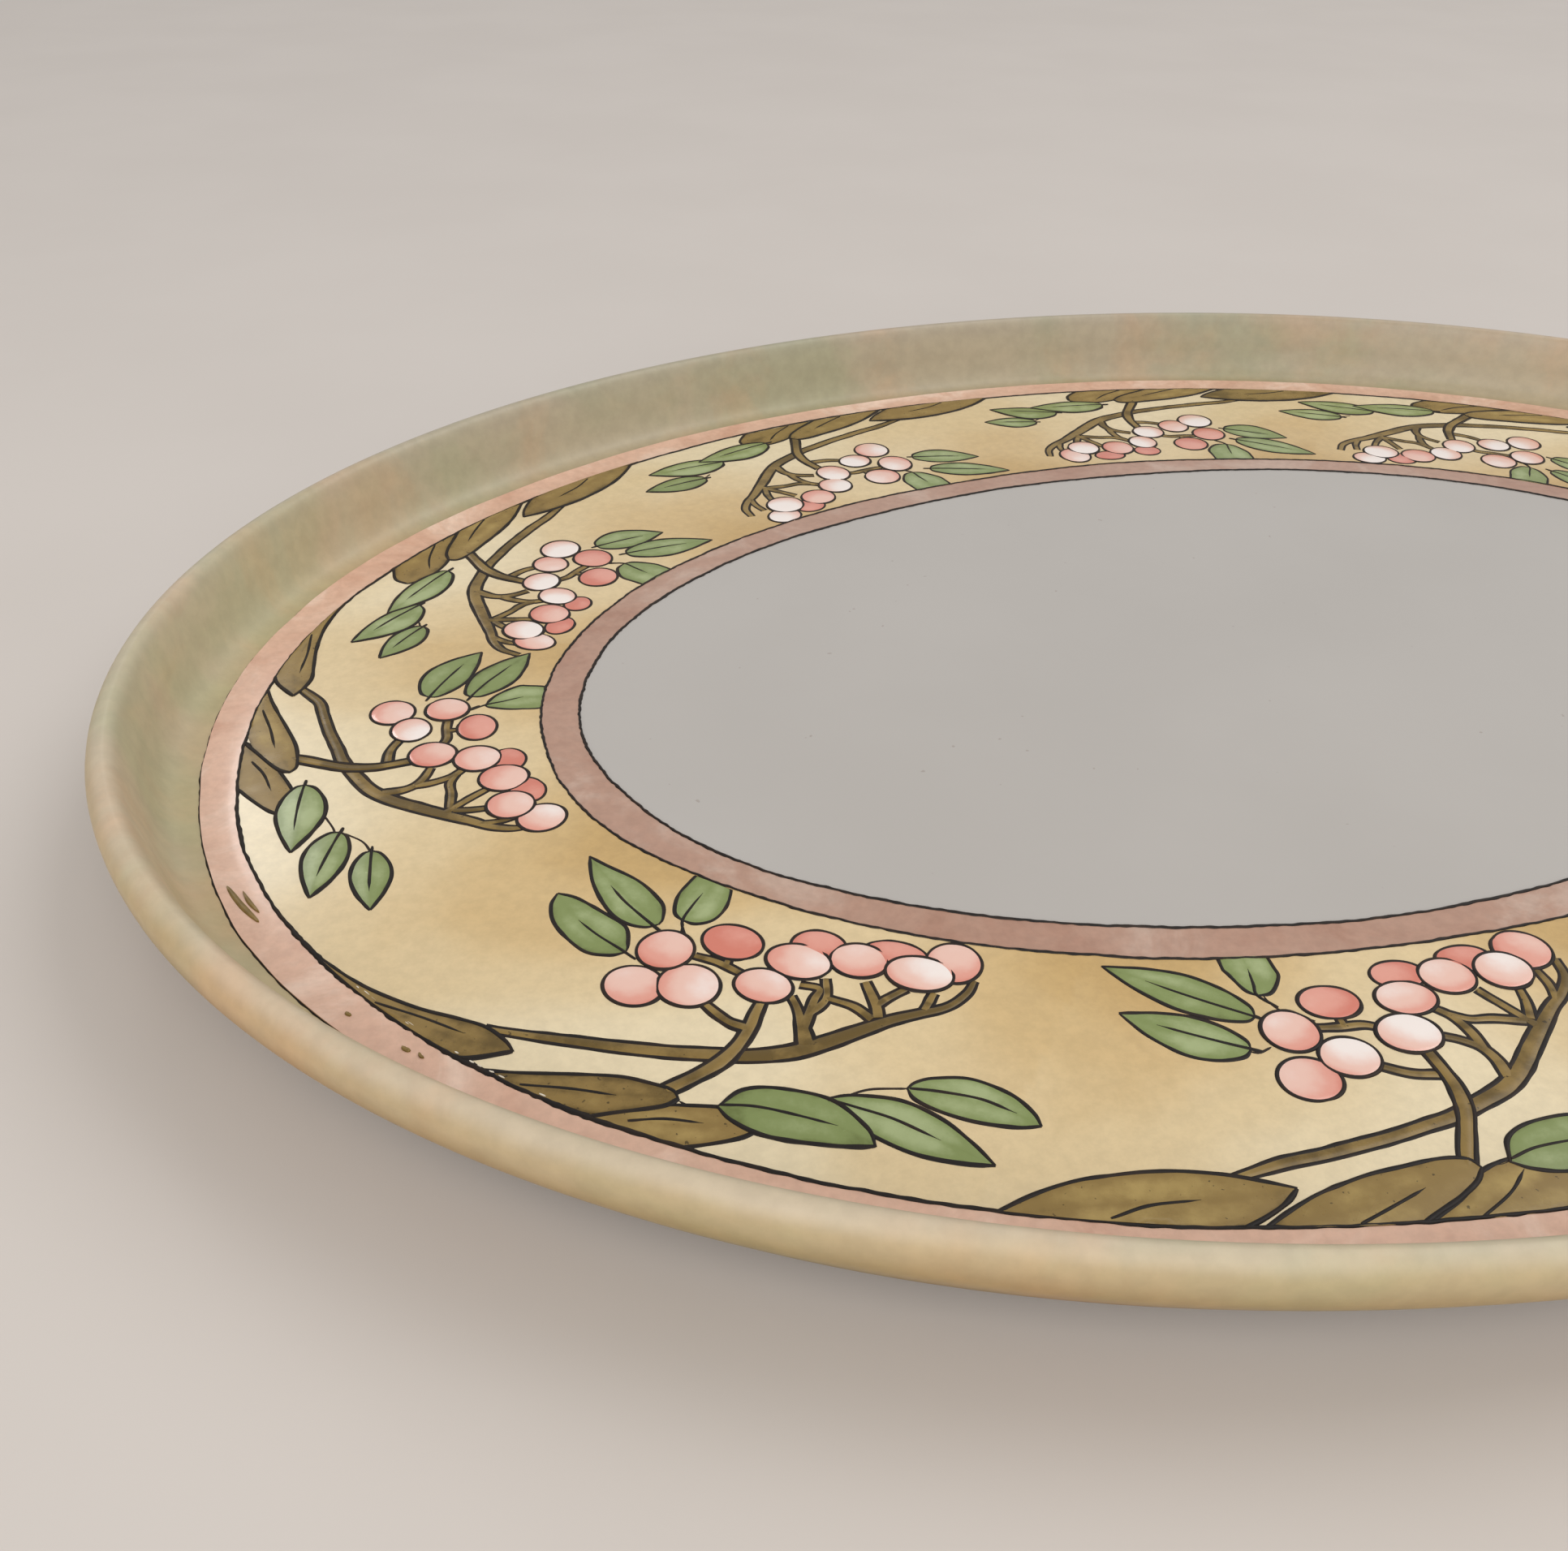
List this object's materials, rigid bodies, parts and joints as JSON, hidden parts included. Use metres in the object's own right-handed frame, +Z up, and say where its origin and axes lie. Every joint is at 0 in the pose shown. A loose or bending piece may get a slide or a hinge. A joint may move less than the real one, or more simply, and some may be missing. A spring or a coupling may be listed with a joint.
{
  "type": "china serving platter",
  "caption": "Oval footed china platter with an upright rim and a painted border of berry and leaf sprays round a plain white well.",
  "frame": {"origin": "centre of the platter on the plane that its foot stands on", "axes": "+X along the long axis, +Y along the short axis, +Z up out of the well"},
  "size_m": [0.306, 0.2306, 0.0196],
  "materials": {
    "china": "glossy clear-glazed white china",
    "bare_china": "unglazed ground foot",
    "sage_enamel": "satin sage green-beige enamel, worn lighter on the lip",
    "pink_enamel": "mottled salmon-pink enamel wash",
    "cream_enamel": "clouded cream to yellow-ochre enamel",
    "black_enamel": "brush-drawn black outline enamel",
    "olive_enamel": "olive brown enamel",
    "berry_enamel": "raised pink enamel shading to white",
    "leaf_enamel": "sage green enamel with a lighter middle"
  },
  "bodies": {
    "root": {"china_body": "china", "foot_ring": "bare_china", "sage_rim_coat": "sage_enamel", "outer_pink_band": "pink_enamel", "cream_ground": "cream_enamel", "inner_pink_band": "pink_enamel", "line_rim": "black_enamel", "line_outer": "black_enamel", "line_inner": "black_enamel", "line_well": "black_enamel", "spray_01_olive_branch": "olive_enamel", "spray_01_berries": "berry_enamel", "spray_01_inner_leaves": "leaf_enamel", "spray_01_trailing_leaves": "leaf_enamel", "spray_02_olive_branch": "olive_enamel", "spray_02_berries": "berry_enamel", "spray_02_inner_leaves": "leaf_enamel", "spray_02_trailing_leaves": "leaf_enamel", "spray_03_olive_branch": "olive_enamel", "spray_03_berries": "berry_enamel", "spray_03_inner_leaves": "leaf_enamel", "spray_03_trailing_leaves": "leaf_enamel", "spray_04_olive_branch": "olive_enamel", "spray_04_berries": "berry_enamel", "spray_04_inner_leaves": "leaf_enamel", "spray_04_trailing_leaves": "leaf_enamel", "spray_05_olive_branch": "olive_enamel", "spray_05_berries": "berry_enamel", "spray_05_inner_leaves": "leaf_enamel", "spray_05_trailing_leaves": "leaf_enamel", "spray_06_olive_branch": "olive_enamel", "spray_06_berries": "berry_enamel", "spray_06_inner_leaves": "leaf_enamel", "spray_06_trailing_leaves": "leaf_enamel", "spray_07_olive_branch": "olive_enamel", "spray_07_berries": "berry_enamel", "spray_07_inner_leaves": "leaf_enamel", "spray_07_trailing_leaves": "leaf_enamel", "spray_08_olive_branch": "olive_enamel", "spray_08_berries": "berry_enamel", "spray_08_inner_leaves": "leaf_enamel", "spray_08_trailing_leaves": "leaf_enamel", "spray_09_olive_branch": "olive_enamel", "spray_09_berries": "berry_enamel", "spray_09_inner_leaves": "leaf_enamel", "spray_09_trailing_leaves": "leaf_enamel", "spray_10_olive_branch": "olive_enamel", "spray_10_berries": "berry_enamel", "spray_10_inner_leaves": "leaf_enamel", "spray_10_trailing_leaves": "leaf_enamel"}
  },
  "joints": []
}
